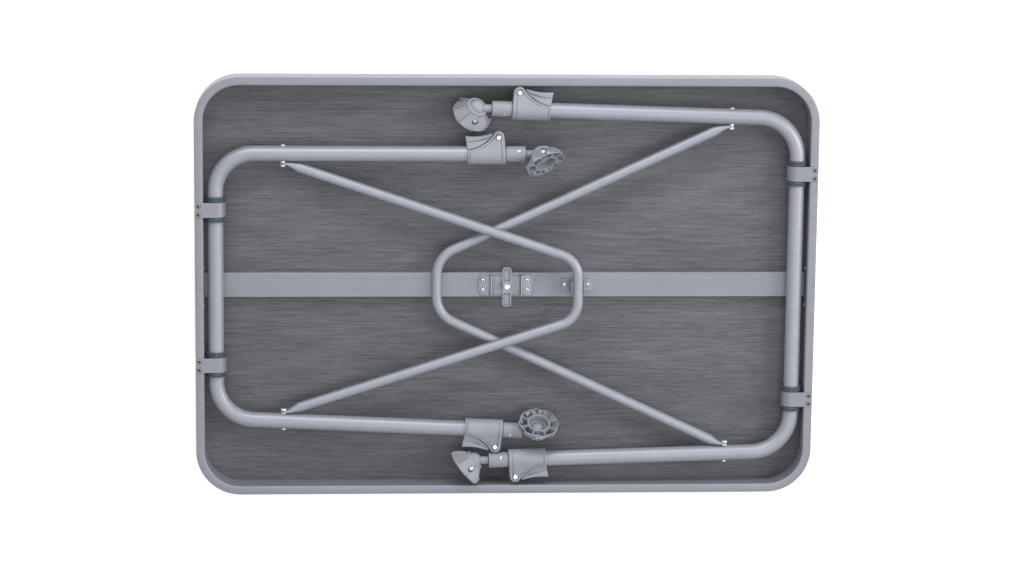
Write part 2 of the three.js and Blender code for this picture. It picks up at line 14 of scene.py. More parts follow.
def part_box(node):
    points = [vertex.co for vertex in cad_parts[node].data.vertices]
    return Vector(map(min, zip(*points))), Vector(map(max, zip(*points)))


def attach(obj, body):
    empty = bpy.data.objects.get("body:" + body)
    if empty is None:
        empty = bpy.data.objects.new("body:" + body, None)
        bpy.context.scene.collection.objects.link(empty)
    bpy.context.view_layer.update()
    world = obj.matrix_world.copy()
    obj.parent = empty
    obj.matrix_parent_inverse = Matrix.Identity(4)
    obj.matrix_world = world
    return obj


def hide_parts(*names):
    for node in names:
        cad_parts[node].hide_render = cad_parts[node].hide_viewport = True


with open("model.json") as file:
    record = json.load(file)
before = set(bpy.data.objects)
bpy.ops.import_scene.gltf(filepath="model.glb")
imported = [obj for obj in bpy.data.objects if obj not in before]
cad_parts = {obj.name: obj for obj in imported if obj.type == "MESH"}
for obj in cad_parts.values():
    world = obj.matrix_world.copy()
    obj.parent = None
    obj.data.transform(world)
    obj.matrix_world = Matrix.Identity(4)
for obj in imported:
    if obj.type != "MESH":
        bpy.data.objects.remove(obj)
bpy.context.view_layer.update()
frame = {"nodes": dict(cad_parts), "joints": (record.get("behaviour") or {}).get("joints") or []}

MM = 0.001
JOINTS = {joint["name"]: joint for joint in frame["joints"]}
LEGS = ("left_rear", "left_front", "right_rear", "right_front")
X_TO_Z = Matrix.Rotation(-math.pi / 2, 4, "Y")

# The table top. The rebate in the rail's foot holds the board: its distance in from the outer edge, and
# its height.
TOP_HALF_X = 500
CORNER_RADIUS = 72
RAIL_WIDTH = 14
RAIL_HEIGHT = 49
RAIL_OUTER_ROUND = 1.3
RAIL_INNER_ROUND = 2.4
RAIL_FOOT_CHAMFER = 0.4
REBATE = (7.7, 5.8)
SEAM_GAP = 0.3

# Tubes and braces. A brace's two corners are given by their Y, and its bar between them by its X and Z.
TUBE_RADIUS = 12.5
BRACE_RADIUS = 8
BEND_RADIUS = {"left": 62, "right": 65}
BRACE_BEND = {"left": 38, "right": 46}
BRACE_CORNERS = {"left": (45, -51.6), "right": (47, -47)}
BRACE_BAR = {"left": (114.7, 49.2), "right": (-112.5, 27.2)}

# Distances along a leg from the cross tube's axis.
BRACE_BOLT = 108
LOWER_LEG_START = 193.5
CLAMP_START = 401.5
PIN_ALONG = 451.5
TUBE_END = 454.5
CLAMP_END = 462.5
PLUG_START = 463
PLUG_END = 494.5
BALL_ALONG = 519

# The clamp's pin, from the leg's axis.
PIN_OFFSET = 27.5

# The direction from each foot's ball to the ground that it would stand on.
FOOT_FACES = {
    "left_rear": (0.39, -0.74, 0.55),
    "left_front": (0.09, 0.84, 0.53),
    "right_rear": (-0.37, -0.65, -0.66),
    "right_front": (-0.76, -0.65, -0.1),
}

# Each plug's rivet: its share of the plug's length, and its turn towards the rear from the top in degrees.
PLUG_RIVETS = {
    "left_rear": (0.66, 26),
    "left_front": (0.37, -30),
    "right_rear": (0.36, -47),
    "right_front": (0.38, 25),
}

# The side of each foot that the head of its screw is on.
SCREW_SIDE = {"left_rear": 1, "left_front": -1, "right_rear": -1, "right_front": -1}


# --- Camera, light and floor ---

# A long lens almost straight above the table.
CAMERA_PLACE = (-0.3190, 0.9190, 4.9723)
CAMERA_RIGHT = (0.99788, 0.01071, 0.06424)
CAMERA_UP = (0.00126, 0.98304, -0.18340)
CAMERA_LENS = 109.69
CAMERA_SENSOR = 36
CAMERA_REACH = 50

SKY_STRENGTH = 0.75
FLOOR_HALF = 12
FLOOR_LEVEL = -0.002

# Each soft box: its place, its size and its power.
SOFT_BOXES = {
    "rear": ((-0.3, 2.9, 1.9), (2.8, 0.7), 60),
    "side": ((2.8, 0.5, 2.1), (0.8, 1.8), 55),
    "top": ((0.3, 0.0, 3.6), (2.6, 1.8), 18),
}


def add_object(name, data):
    """A new object in the scene."""
    obj = bpy.data.objects.new(name, data)
    bpy.context.scene.collection.objects.link(obj)
    return obj


def make_camera():
    right, up = Vector(CAMERA_RIGHT), Vector(CAMERA_UP)
    rotation = Matrix((right, up, right.cross(up))).transposed().to_4x4()
    data = bpy.data.cameras.new("camera")
    data.sensor_width = CAMERA_SENSOR
    data.lens = CAMERA_LENS
    data.clip_end = CAMERA_REACH
    camera = add_object("camera", data)
    camera.matrix_world = Matrix.Translation(CAMERA_PLACE) @ rotation
    bpy.context.scene.camera = camera


def soft_box(name, place, size, power):
    """A lamp that shines at the middle of the table."""
    data = bpy.data.lights.new(name, "AREA")
    data.shape = "RECTANGLE"
    data.size, data.size_y = size
    data.energy = power
    light = add_object(name, data)
    light.location = place
    light.rotation_euler = (-Vector(place)).to_track_quat("-Z", "Y").to_euler()


def make_stage():
    """A white floor and sky, with soft boxes above."""
    world = bpy.data.worlds.new("studio")
    world.use_nodes = True
    background = world.node_tree.nodes["Background"]
    background.inputs["Color"].default_value = (1, 1, 1, 1)
    background.inputs["Strength"].default_value = SKY_STRENGTH
    bpy.context.scene.world = world
    bpy.context.scene.view_settings.view_transform = "Standard"

    mesh = bpy.data.meshes.new("floor")
    signs = ((-1, -1), (1, -1), (1, 1), (-1, 1))
    corners = [(FLOOR_HALF * x, FLOOR_HALF * y, FLOOR_LEVEL) for x, y in signs]
    mesh.from_pydata(corners, [], [(0, 1, 2, 3)])
    floor = add_object("floor", mesh)
    material = bpy.data.materials.new("floor")
    material.use_nodes = True
    shader = material.node_tree.nodes["Principled BSDF"]
    shader.inputs["Base Color"].default_value = (0.93, 0.93, 0.93, 1)
    shader.inputs["Roughness"].default_value = 0.9
    shader.inputs["Emission Color"].default_value = (1, 1, 1, 1)
    shader.inputs["Emission Strength"].default_value = 0.35
    mesh.materials.append(material)

    for name, (place, size, power) in SOFT_BOXES.items():
        soft_box(name, place, size, power)


# --- Materials ---

# The sockets of a Mix node, which has one pair of inputs for each kind of value.
MIX_FACTOR = 0
MIX_FLOATS = (2, 3)
MIX_COLORS = (6, 7)
MIX_FLOAT_OUT = 0
MIX_COLOR_OUT = 2


class Nodes:
    """A short way to write one material's node tree."""

    def __init__(self, name):
        self.material = bpy.data.materials.new(name)
        self.material.use_nodes = True
        self.tree = self.material.node_tree
        self.shader = self.tree.nodes["Principled BSDF"]

    def add(self, kind, **values):
        """A new node, with values for its sockets or its properties."""
        node = self.tree.nodes.new(kind)
        for key, value in values.items():
            if key in node.inputs:
                node.inputs[key].default_value = value
            else:
                setattr(node, key, value)
        return node

    def link(self, source, output, target, socket):
        self.tree.links.new(source.outputs[output], target.inputs[socket])

    def noise(self, scale, stretch=(1, 1, 1), detail=4.0, roughness=0.6, place=None):
        """Noise in the piece's own space, or in that of the output given as place."""
        mapping = self.add("ShaderNodeMapping", Scale=stretch)
        if place is None:
            place = self.add("ShaderNodeTexCoord").outputs["Object"]
        self.tree.links.new(place, mapping.inputs["Vector"])
        node = self.add("ShaderNodeTexNoise", Scale=scale, Detail=detail, Roughness=roughness)
        self.link(mapping, "Vector", node, "Vector")
        return node

    def ramp(self, source, output, stops):
        """Colours at positions from 0 to 1 of a source's output."""
        node = self.add("ShaderNodeValToRGB")
        elements = node.color_ramp.elements
        while len(elements) < len(stops):
            elements.new(0.5)
        for element, (position, color) in zip(elements, stops):
            element.position = position
            element.color = (*color, 1)
        self.link(source, output, node, "Fac")
        return node

    def multiplied(self, first, second):
        """One node's colour times another's."""
        mix = self.add("ShaderNodeMix", data_type="RGBA", blend_type="MULTIPLY")
        mix.inputs[MIX_FACTOR].default_value = 1
        self.tree.links.new(first, mix.inputs[MIX_COLORS[0]])
        self.tree.links.new(second, mix.inputs[MIX_COLORS[1]])
        return mix.outputs[MIX_COLOR_OUT]

    def painted_crevice_shade(self, color, distance, painted_shade_darkest):
        """A colour, darker in the piece's own recesses: painted shade, from the piece's own ambient
        occlusion.
        """
        shade = self.add("ShaderNodeAmbientOcclusion", only_local=True, samples=8, Distance=distance)
        # Painted shade: the occlusion value darkens the colour down to the darkest value in the recesses.
        painted_shade_ramp = self.ramp(shade, "AO", [(0.25, gray(painted_shade_darkest)), (0.9, gray(1))])
        return self.multiplied(color, painted_shade_ramp.outputs["Color"])

    def color(self, output):
        self.tree.links.new(output, self.shader.inputs["Base Color"])

    def roughness(self, source, low, high):
        """The shader's roughness, from low to high with a noise."""
        node = self.add("ShaderNodeMapRange")
        node.inputs["To Min"].default_value = low
        node.inputs["To Max"].default_value = high
        self.link(source, "Fac", node, "Value")
        self.link(node, "Result", self.shader, "Roughness")

    def bump(self, source, strength, distance):
        node = self.add("ShaderNodeBump", Strength=strength, Distance=distance)
        self.link(source, "Fac", node, "Height")
        self.link(node, "Normal", self.shader, "Normal")


def gray(value, tint=(1, 1, 1)):
    return tuple(value * t for t in tint)


# The cool tint of the table's metal and plastic.
COOL = (0.935, 0.975, 1.105)


def metal_material(name, value, metallic, rough, stretch, painted_shade_darkest=1):
    """Satin metal with fine streaks along its length and slight cloudiness."""
    n = Nodes(name)
    n.shader.inputs["Metallic"].default_value = metallic
    streaks = n.noise(90, stretch, detail=6)
    clouds = n.noise(9, detail=3)
    mixed = n.add("ShaderNodeMix", data_type="FLOAT", Factor=0.35)
    n.link(streaks, "Fac", mixed, MIX_FLOATS[0])
    n.link(clouds, "Fac", mixed, MIX_FLOATS[1])
    low, high = gray(value * 0.93, COOL), gray(value * 1.07, COOL)
    tones = n.ramp(mixed, MIX_FLOAT_OUT, [(0.3, low), (0.7, high)]).outputs["Color"]
    # Painted shade in the piece's own recesses, when its darkest value is below 1.
    n.color(n.painted_crevice_shade(tones, 0.005, painted_shade_darkest) if painted_shade_darkest < 1 else tones)
    n.roughness(streaks, rough - 0.05, rough + 0.07)
    n.bump(streaks, 0.12, 0.0004)
    return n.material


def plastic_material(name, value, tint, rough):
    """Moulded plastic with a fine spark-eroded texture."""
    n = Nodes(name)
    grain = n.noise(1400, detail=3)
    clouds = n.noise(22, detail=2)
    low, high = gray(value * 0.94, tint), gray(value * 1.08, tint)
    tones = n.ramp(clouds, "Fac", [(0.3, low), (0.7, high)]).outputs["Color"]
    # Painted shade, darkest in the piece's own recesses.
    n.color(n.painted_crevice_shade(tones, 0.007, 0.3))
    n.roughness(grain, rough - 0.08, rough + 0.1)
    n.bump(grain, 0.18, 0.0003)
    return n.material


def wood_material():
    """Dark grey laminate with a fine, slightly wavy wood grain along X."""
    n = Nodes("board_woodgrain")
    waves = n.noise(3.4, (0.8, 2.2, 1), 2.0, 0.5)
    sway = n.add("ShaderNodeVectorMath", operation="SCALE")
    sway.inputs["Scale"].default_value = 0.012
    n.link(waves, "Color", sway, "Vector")
    bent = n.add("ShaderNodeVectorMath", operation="ADD")
    n.link(n.add("ShaderNodeTexCoord"), "Object", bent, 0)
    n.link(sway, "Vector", bent, 1)
    place = bent.outputs["Vector"]

    broad = n.noise(9, (0.5, 2.6, 1), 4.0, 0.6, place)
    fine = n.noise(68, (0.16, 4.2, 1), 6.0, 0.7, place)
    pores = n.noise(230, (0.13, 2.6, 1), 2.0, 0.8, place)
    tones = n.ramp(broad, "Fac", [(0.3, (0.074, 0.076, 0.084)), (0.7, (0.108, 0.111, 0.124))])
    lines = n.ramp(fine, "Fac", [(0.33, (0.7, 0.7, 0.69)), (0.52, (1, 1, 1)), (0.7, (1.3, 1.29, 1.32))])
    marks = n.ramp(pores, "Fac", [(0.34, (0.7, 0.7, 0.7)), (0.48, (1, 1, 1)), (0.68, (1.16, 1.16, 1.18))])
    color = tones.outputs["Color"]
    for layer in (lines, marks):
        color = n.multiplied(color, layer.outputs["Color"])
    n.color(color)
    n.roughness(fine, 0.42, 0.62)
    n.bump(pores, 0.25, 0.0004)
    return n.material


# Each look: its material and the slot of the part that it belongs to.
MATERIALS = {
    "rail": (metal_material("rail_aluminium", 0.255, 0.35, 0.42, (0.06, 1, 1)), "rail_aluminium"),
    # The pressing's last value, 0.35, is how dark the painted shade in its recesses goes.
    "pressing": (metal_material("pressed_aluminium", 0.33, 0.35, 0.4, (0.5, 1, 1), 0.35), "rail_aluminium"),
    "tube": (metal_material("tube_paint", 0.325, 0.35, 0.45, (1, 1, 1)), "tube_paint"),
    "board": (wood_material(), "board_woodgrain"),
    "plastic": (plastic_material("grey_plastic", 0.27, COOL, 0.48), "grey_plastic"),
    "bushing": (plastic_material("bushing_plastic", 0.07, (0.68, 1.05, 1.35), 0.2), "bushing_plastic"),
    "steel": (metal_material("bright_steel", 0.85, 0.9, 0.2, (1, 1, 1)), "bright_steel"),
    # Near-black, for painted shade: in rivet holes, and as shadow rings round rivet and pin heads.
    "hole": (plastic_material("painted_shade_black", 0.012, (1, 1, 1), 0.6), "bright_steel"),
}


# --- Meshes: a part is a list of vertices and a list of faces ---


def piece(name, part, look, body, replaces=(), sharp=32, bevel=0):
    """A closed mesh that rides on a body, smooth except at edges sharper than an angle in degrees."""
    vertices, faces = part
    mesh = bpy.data.meshes.new(name)
    mesh.from_pydata([Vector(v) * MM for v in vertices], [], faces)
    mesh.validate()
    obj = add_object(name, mesh)
    turn_outwards(mesh)
    material, slot = MATERIALS[look]
    mesh.materials.append(material)
    mesh.shade_smooth()
    if bevel:
        modifier = obj.modifiers.new("bevel", "BEVEL")
        modifier.width = bevel * MM
        modifier.segments = 2
        modifier.limit_method = "ANGLE"
        modifier.angle_limit = math.radians(sharp)
        modifier.harden_normals = True
    else:
        mesh.set_sharp_from_angle(angle=math.radians(sharp))
    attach(obj, body)
    if replaces:
        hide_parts(*replaces)


def turned_piece(name, profile, sides, place, look, body, replaces=()):
    """A round piece about the X of its place."""
    piece(name, moved(lathe(profile, sides), place), look, body, replaces)


def turn_outwards(mesh):
    """Faces point outwards on every closed shell."""
    bm = bmesh.new()
    bm.from_mesh(mesh)
    bmesh.ops.recalc_face_normals(bm, faces=bm.faces)
    bm.to_mesh(mesh)
    bm.free()


def join(*parts):
    """Several parts as one."""
    vertices, faces = [], []
    for more_vertices, more_faces in parts:
        start = len(vertices)
        vertices += [Vector(v) for v in more_vertices]
        faces += [tuple(i + start for i in face) for face in more_faces]
    return vertices, faces


def moved(part, matrix):
    return [matrix @ Vector(v) for v in part[0]], part[1]


def mirrored(part, side):
    """A part as it is for side 1, and mirrored in Y for side -1."""
    return [(x, y * side, z) for x, y, z in part[0]], part[1]


def skin(rings, loop=False):
    """Rings of equal length joined in order, with flat ends or, in a loop, back to the first ring."""
    count = len(rings[0])
    vertices = [v for ring in rings for v in ring]
    faces = []
    for i in range(len(rings) if loop else len(rings) - 1):
        a, b = i * count, ((i + 1) % len(rings)) * count
        for j in range(count):
            k = (j + 1) % count
            faces.append((a + j, a + k, b + k, b + j))
    if not loop:
        faces.append(tuple(reversed(range(count))))
        faces.append(tuple(range(len(vertices) - count, len(vertices))))
    return vertices, faces


def carved(part, *cutters):
    """A closed part with other closed parts cut away from it."""
    objects = []
    for index, (vertices, faces) in enumerate((part, *cutters)):
        mesh = bpy.data.meshes.new(f"carving_{index}")
        mesh.from_pydata([Vector(v) for v in vertices], [], faces)
        turn_outwards(mesh)
        objects.append(add_object(f"carving_{index}", mesh))
    for cutter in objects[1:]:
        modifier = objects[0].modifiers.new(cutter.name, "BOOLEAN")
        modifier.operation = "DIFFERENCE"
        modifier.solver = "EXACT"
        modifier.object = cutter
    graph = bpy.context.evaluated_depsgraph_get()
    mesh = bpy.data.meshes.new_from_object(objects[0].evaluated_get(graph))
    result = [v.co.copy() for v in mesh.vertices], [tuple(p.vertices) for p in mesh.polygons]
    bpy.data.meshes.remove(mesh)
    for obj in objects:
        bpy.data.objects.remove(obj)
    return result


def block(low, high):
    (x0, y0, z0), (x1, y1, z1) = low, high
    return skin([[(x, y0, z0), (x, y1, z0), (x, y1, z1), (x, y0, z1)] for x in (x0, x1)])


def circle(radius, sides=40):
    return [(radius * math.cos(2 * math.pi * i / sides), radius * math.sin(2 * math.pi * i / sides))
            for i in range(sides)]


def lathe(profile, sides=40):
    """A closed round solid about X from (x, radius) points; the ends may lie on the axis."""
    return skin([[(x, y, z) for y, z in circle(max(radius, 0.01), sides)] for x, radius in profile])


def post(radius, x, y, half):
    """A round post along Z."""
    return skin([[(x + a, y + b, z) for a, b in circle(radius)] for z in (-half, half)])


def prism(outline, low, high):
    """A flat outline in X and Y given a thickness along Z."""
    return skin([[(x, y, z) for x, y in outline] for z in (low, high)])


def arc(cx, cy, radius, start, end, steps):
    """Points on an arc, angles in degrees."""
    points = []
    for i in range(steps + 1):
        angle = math.radians(start + (end - start) * i / steps)
        points.append((cx + radius * math.cos(angle), cy + radius * math.sin(angle)))
    return points


def rounded_rectangle(half_x, half_y, radius, steps=6):
    points = []
    for quarter, (sx, sy) in enumerate(((1, 1), (-1, 1), (-1, -1), (1, -1))):
        start = 90 * quarter
        points += arc(sx * (half_x - radius), sy * (half_y - radius), radius, start, start + 90, steps)
    return points


def wall(middle, half, outline, height):
    """An upright plate across X, whose outline in Y and Z is round about a height."""
    return skin([[(middle + dx, y, z + height) for y, z in outline] for dx in (-half, half)])


def bent_path(corners, radius, steps=18):
    """(point, tangent) stations along straight runs joined by round bends."""
    corners = [Vector(c) for c in corners]
    stations = [(corners[0], (corners[1] - corners[0]).normalized())]
    for before, corner, after in zip(corners, corners[1:], corners[2:]):
        inward = (corner - before).normalized()
        outward = (after - corner).normalized()
        turn = inward.angle(outward)
        side = (outward - inward * math.cos(turn)).normalized()
        start = corner - inward * radius * math.tan(turn / 2)
        for i in range(steps + 1):
            angle = turn * i / steps
            point = start + inward * radius * math.sin(angle) + side * radius * (1 - math.cos(angle))
            stations.append((point, inward * math.cos(angle) + side * math.sin(angle)))
    stations.append((corners[-1], (corners[-1] - corners[-2]).normalized()))
    return stations


def bezier(controls, t):
    """A point and heading on a cubic curve."""
    a, b, c, d = controls
    low, high = a.lerp(b, t).lerp(b.lerp(c, t), t), b.lerp(c, t).lerp(c.lerp(d, t), t)
    return low.lerp(high, t), (high - low).normalized()


def swept(stations, section):
    """A section of (across, up) points carried along a path that stays near level."""
    rings = []
    for point, tangent in stations:
        across = Vector((0, 0, 1)).cross(tangent).normalized()
        up = tangent.cross(across)
        rings.append([point + across * a + up * h for a, h in section])
    return skin(rings)


# --- Places taken from the frame ---


def side_of(leg):
    """Left or right."""
    return leg.split("_")[0]


def joint_place(name):
    return Vector(JOINTS[name]["pos_m"]) / MM


def cross_tube_place(leg):
    return joint_place(f"{side_of(leg)}_leg_fold")


def leg_matrix(leg):
    """X along the leg to the foot, Z up, from the cross tube's axis."""
    along = Vector(JOINTS[f"{leg}_extension"]["axis"]).normalized()
    across = Vector((0, 0, 1)).cross(along).normalized()
    up = along.cross(across)
    origin = joint_place(f"{leg}_foot_tilt") - along * BALL_ALONG
    return Matrix.Translation(origin) @ Matrix((along, across, up)).transposed().to_4x4()


def outer_side(leg):
    """1 where the table's outer side is on the leg's own +Y side, or else -1."""
    rear = 1 if leg.endswith("rear") else -1
    return rear if leg.startswith("left") else -rear


def foot_matrix(leg):
    """Z away from the ground, X on the side that the leg comes in from, from the ball."""
    to_leg = -Vector(JOINTS[f"{leg}_extension"]["axis"]).normalized()
    up = -Vector(FOOT_FACES[leg]).normalized()
    side = (to_leg - up * to_leg.dot(up)).normalized()
    place = Matrix.Translation(joint_place(f"{leg}_foot_tilt"))
    return place @ Matrix((side, up.cross(side), up)).transposed().to_4x4()


def rivet(name, place, radius, body, hole=0.42, look="steel"):
    """A low rivet head along local Z, in a thin near-black ring of painted shadow, with a near-black disc
    of painted shade in the hole in its middle.
    """
    turn = place @ X_TO_Z
    edge, rim, hollow = radius * 1.16, radius * hole, radius * hole * 0.9
    # Painted shadow: a near-black ring a little wider than the head, round its foot.
    line = [(-0.3, 0), (-0.3, edge), (0.12, edge), (0.12, 0)]
    turned_piece(f"{name}_joint_line", line, 24, turn, "hole", body)
    head = [(0, 0), (0, radius), (radius * 0.12, radius), (radius * 0.3, radius * 0.8),
            (radius * 0.36, rim), (radius * 0.2, hollow), (radius * 0.2, 0)]
    turned_piece(name, head, 24, turn, look, body)
    # Painted shade: a near-black disc at the bottom of the head's hollow, for the shade down the hole.
    disc = [(radius * 0.21, 0), (radius * 0.21, hollow), (radius * 0.25, rim * 0.8), (radius * 0.25, 0)]
    turned_piece(f"{name}_hole", disc, 16, turn, "hole", body)


# --- Table top ---

# The rivets near each seam that hold the joiners, on the inner wall of the rail.
JOINER_RIVETS_Y = (29, -32)
JOINER_RIVET_HEIGHT = 30

# The shallow lines drawn along the centre rail's face.
RAIL_LINES = 9
LINE_DEPTH = 0.22
LINE_HALF = 0.45


def rail_section():
    """The rail's outline as (distance in from the outer edge, height)."""
    depth, step = REBATE
    section = [(RAIL_FOOT_CHAMFER, 0), (0, RAIL_FOOT_CHAMFER)]
    outer, inner = RAIL_OUTER_ROUND, RAIL_INNER_ROUND
    section += arc(outer, RAIL_HEIGHT - outer, outer, 180, 90, 3)
    section += arc(RAIL_WIDTH - inner, RAIL_HEIGHT - inner, inner, 90, 0, 3)
    return section + [(RAIL_WIDTH, step), (depth, step), (depth, 0)]


def make_rails():
    """The frame's two halves, which meet in the middle of the short sides."""
    _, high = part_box("frame_rear")
    half_x, half_y, corner_steps = high.x / MM, high.y / MM, 26
    outline = [((-half_x, SEAM_GAP / 2), (1, 0)), ((-half_x, half_y - CORNER_RADIUS), (1, 0))]
    for cx, start in ((CORNER_RADIUS - half_x, 180), (half_x - CORNER_RADIUS, 90)):
        for x, y in arc(0, 0, 1, start, start - 90, corner_steps):
            outline.append(((cx + CORNER_RADIUS * x, half_y - CORNER_RADIUS + CORNER_RADIUS * y), (-x, -y)))
    outline.append(((half_x, SEAM_GAP / 2), (-1, 0)))
    for name, side in (("frame_rear", 1), ("frame_front", -1)):
        rings = [[(x + inward_x * d, side * (y + inward_y * d), z) for d, z in rail_section()]
                 for (x, y), (inward_x, inward_y) in outline]
        piece(f"{name}_rail", skin(rings), "rail", "table_top", [name], sharp=40)


def make_seam_rivets():
    for name, side in (("left", -1), ("right", 1)):
        inwards = Matrix.Rotation(-side * math.pi / 2, 4, "Y")
        for i, y in enumerate(JOINER_RIVETS_Y):
            place = Matrix.Translation((side * (TOP_HALF_X - RAIL_WIDTH), y, JOINER_RIVET_HEIGHT))
            rivet(f"joiner_rivet_{name}_{i}", place @ inwards, 3.4, "table_top")


def make_centre_rail():
    """The box rail down the middle, with rounded edges and shallow lines."""
    low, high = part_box("centre_rail")
    (x0, y0, z0), (x1, y1, z1) = low / MM, high / MM
    edge = ((0, 0.9), (0.3, 0.3), (0.9, 0))
    groove = ((-LINE_HALF, 0), (-LINE_HALF / 2, LINE_DEPTH), (LINE_HALF / 2, LINE_DEPTH), (LINE_HALF, 0))
    outline = [(y0, z0)] + [(y0 + a, z1 - b) for a, b in edge]
    for i in range(1, RAIL_LINES + 1):
        y = y0 + (y1 - y0) * i / (RAIL_LINES + 1)
        outline += [(y + a, z1 - b) for a, b in groove]
    outline += [(y1 - a, z1 - b) for a, b in reversed(edge)] + [(y1, z0)]
    rings = [[(x, y, z) for y, z in outline] for x in (x0, x1)]
    piece("centre_box_rail", skin(rings), "rail", "table_top", ["centre_rail"], sharp=20)


# --- Straps and bushings ---

# The strap's two faces, from the cross tube's axis, and how far from the table's middle it reaches on
# the rail and beside it.
STRAP_INNER = 14.8
STRAP_OUTER = 16.3
STRAP_TAB = 499.5
STRAP_TAIL = 485.7
STRAP_RIVET_X = 493.8
STRAP_RIVET_Y = 6.6

# The bushing's flanges: their width, and the outer, groove, end and bore radii.
FLANGE = 7.6
FLANGE_RIM = 16.4
FLANGE_GROOVE = 15.5
FLANGE_BACK = 14.2
FLANGE_FRONT = 15
BUSHING_BORE = 12.85


def make_strap(leg):
    """The metal strap that goes over the cross tube and is riveted to the rail."""
    low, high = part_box(f"strap_{leg}")
    side = 1 if leg.startswith("right") else -1
    middle = (low.y + high.y) / 2 / MM
    half = (high.y - low.y) / 2 / MM
    pivot = cross_tube_place(leg)
    x, z = abs(pivot.x), pivot.z

    def round_tube(radius, start, end):
        return [(x - (px - x), pz) for px, pz in arc(x, z, radius, start, end, 28)]

    outline = [(STRAP_TAB, z + STRAP_INNER), (STRAP_TAB, z + STRAP_OUTER)]
    outline += round_tube(STRAP_OUTER, 90, -90)
    outline += [(STRAP_TAIL, z - STRAP_OUTER), (STRAP_TAIL, z - STRAP_INNER)]
    outline += round_tube(STRAP_INNER, -90, 90)
    rings = [[(side * px, middle + dy, pz) for px, pz in outline] for dy in (-half, half)]
    piece(f"{leg}_strap", skin(rings), "rail", "table_top", [f"strap_{leg}"], sharp=30, bevel=0.6)
    for i, dy in enumerate((STRAP_RIVET_Y, -STRAP_RIVET_Y)):
        place = Matrix.Translation((side * STRAP_RIVET_X, middle + dy, z + STRAP_OUTER))
        rivet(f"{leg}_strap_rivet_{i}", place, 3.5, "table_top", 0.62, "rail")


def make_bushing(leg):
    """The plastic sleeve in the strap, with a grooved flange at each end."""
    low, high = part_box(f"bushing_{leg}")
    pivot = cross_tube_place(leg)
    middle = (low.y + high.y) / 2 / MM
    half = (high.y - low.y) / 2 / MM
    flange = [(0, BUSHING_BORE), (0, FLANGE_FRONT), (0.9, FLANGE_RIM), (2.6, FLANGE_RIM),
              (3.2, FLANGE_GROOVE), (4.4, FLANGE_GROOVE), (5.0, FLANGE_RIM), (FLANGE - 0.6, FLANGE_RIM),
              (FLANGE, FLANGE_RIM - 0.6), (FLANGE, FLANGE_BACK)]
    outline = [(step - half, radius) for step, radius in flange]
    outline += [(half - step, radius) for step, radius in reversed(flange)]
    rings = [[(x, y, z) for y, z in circle(radius, 48)] for x, radius in outline]
    place = Matrix.Translation((pivot.x, middle, pivot.z)) @ Matrix.Rotation(math.pi / 2, 4, "Z")
    sleeve = moved(skin(rings, loop=True), place)
    piece(f"{leg}_bushing", sleeve, "bushing", "table_top", [f"bushing_{leg}"])


# --- Legs and braces ---

# The brace's flattened tab: half its thickness, its distance beside the leg, its start past the bolt, and
# the place and reach of its round tip behind that start.
TAB_HALF = 2
TAB_BESIDE = 16
TAB_START = 4
TIP_BEHIND = 2
TIP_REACH = 5

# Where the brace is round again: past the bolt, beside the leg, and from there along the brace.
ROOT_START = 22
ROOT_BESIDE = 21.5
ROOT_RUN = 3


def make_leg_tube(side):
    """One bent tube, both legs and the cross tube between them."""
    rear, front = leg_matrix(f"{side}_rear"), leg_matrix(f"{side}_front")
    corners = [rear @ Vector((TUBE_END, 0, 0)), rear.translation, front.translation,
               front @ Vector((TUBE_END, 0, 0))]
    tube = swept(bent_path(corners, BEND_RADIUS[side]), circle(TUBE_RADIUS, 48))
    piece(f"{side}_leg_tube", tube, "tube", f"{side}_legs", [f"leg_tube_{side}"])


def bolt_place(leg):
    return leg_matrix(leg) @ Vector((BRACE_BOLT, 0, 0))


def tab_ring(place, heading, half_thickness, half_height):
    """A ring across a flattened tube, whose corners round off as it flattens."""
    across = Vector((0, 0, 1)).cross(heading).normalized()
    power = 0.55 + 0.45 * (half_thickness - TAB_HALF) / (BRACE_RADIUS - TAB_HALF)
    ring = []
    for c, s in circle(1, 36):
        a = math.copysign(abs(c) ** power, c) * half_thickness
        h = math.copysign(abs(s) ** power, s) * half_height
        ring.append(place + across * a + Vector((0, 0, h)))
    return ring


def brace_end(leg, inward, bar):
    """From the tab's round end at the bolt to the full tube: its rings, and where it ends."""
    rear = 1 if leg.endswith("rear") else -1
    bolt = bolt_place(leg)
    root = Vector((bolt.x + inward * ROOT_START, bolt.y - rear * ROOT_BESIDE, bolt.z))
    run = (bar - root).normalized()
    start = Vector((bolt.x + inward * TAB_START, bolt.y - rear * TAB_BESIDE, bolt.z))
    end = root + run * ROOT_RUN
    rings = []
    for angle in (80, 60, 40, 20, 0):
        x = -inward * (TIP_BEHIND + TIP_REACH * math.sin(math.radians(angle)))
        half_height = BRACE_RADIUS * math.cos(math.radians(angle))
        rings.append(tab_ring(start + Vector((x, 0, 0)), Vector((inward, 0, 0)), TAB_HALF, half_height))
    controls = (start, start + Vector((inward * 6, -rear * 0.6, 0)), end - run * 7, end)
    steps = 16
    for i in range(steps + 1):
        t = i / steps
        place, heading = bezier(controls, t)
        half_thickness = TAB_HALF + (BRACE_RADIUS - TAB_HALF) * t ** 1.25
        rings.append(tab_ring(place, heading, half_thickness, BRACE_RADIUS))
    return rings, end


def make_brace(side):
    """The bent rod, whose ends flatten into tabs beside the legs."""
    inward = 1 if side == "left" else -1
    bar_x, bar_z = BRACE_BAR[side]
    rear_corner, front_corner = [Vector((bar_x, y, bar_z)) for y in BRACE_CORNERS[side]]
    rear_rings, rear_end = brace_end(f"{side}_rear", inward, rear_corner)
    front_rings, front_end = brace_end(f"{side}_front", inward, front_corner)
    path = bent_path([rear_end, rear_corner, front_corner, front_end], BRACE_BEND[side], 14)
    rod = join(skin(rear_rings), skin(front_rings), swept(path, circle(BRACE_RADIUS, 36)))
    piece(f"{side}_brace_rod", rod, "tube", f"{side}_brace", [f"brace_{side}"], sharp=40)


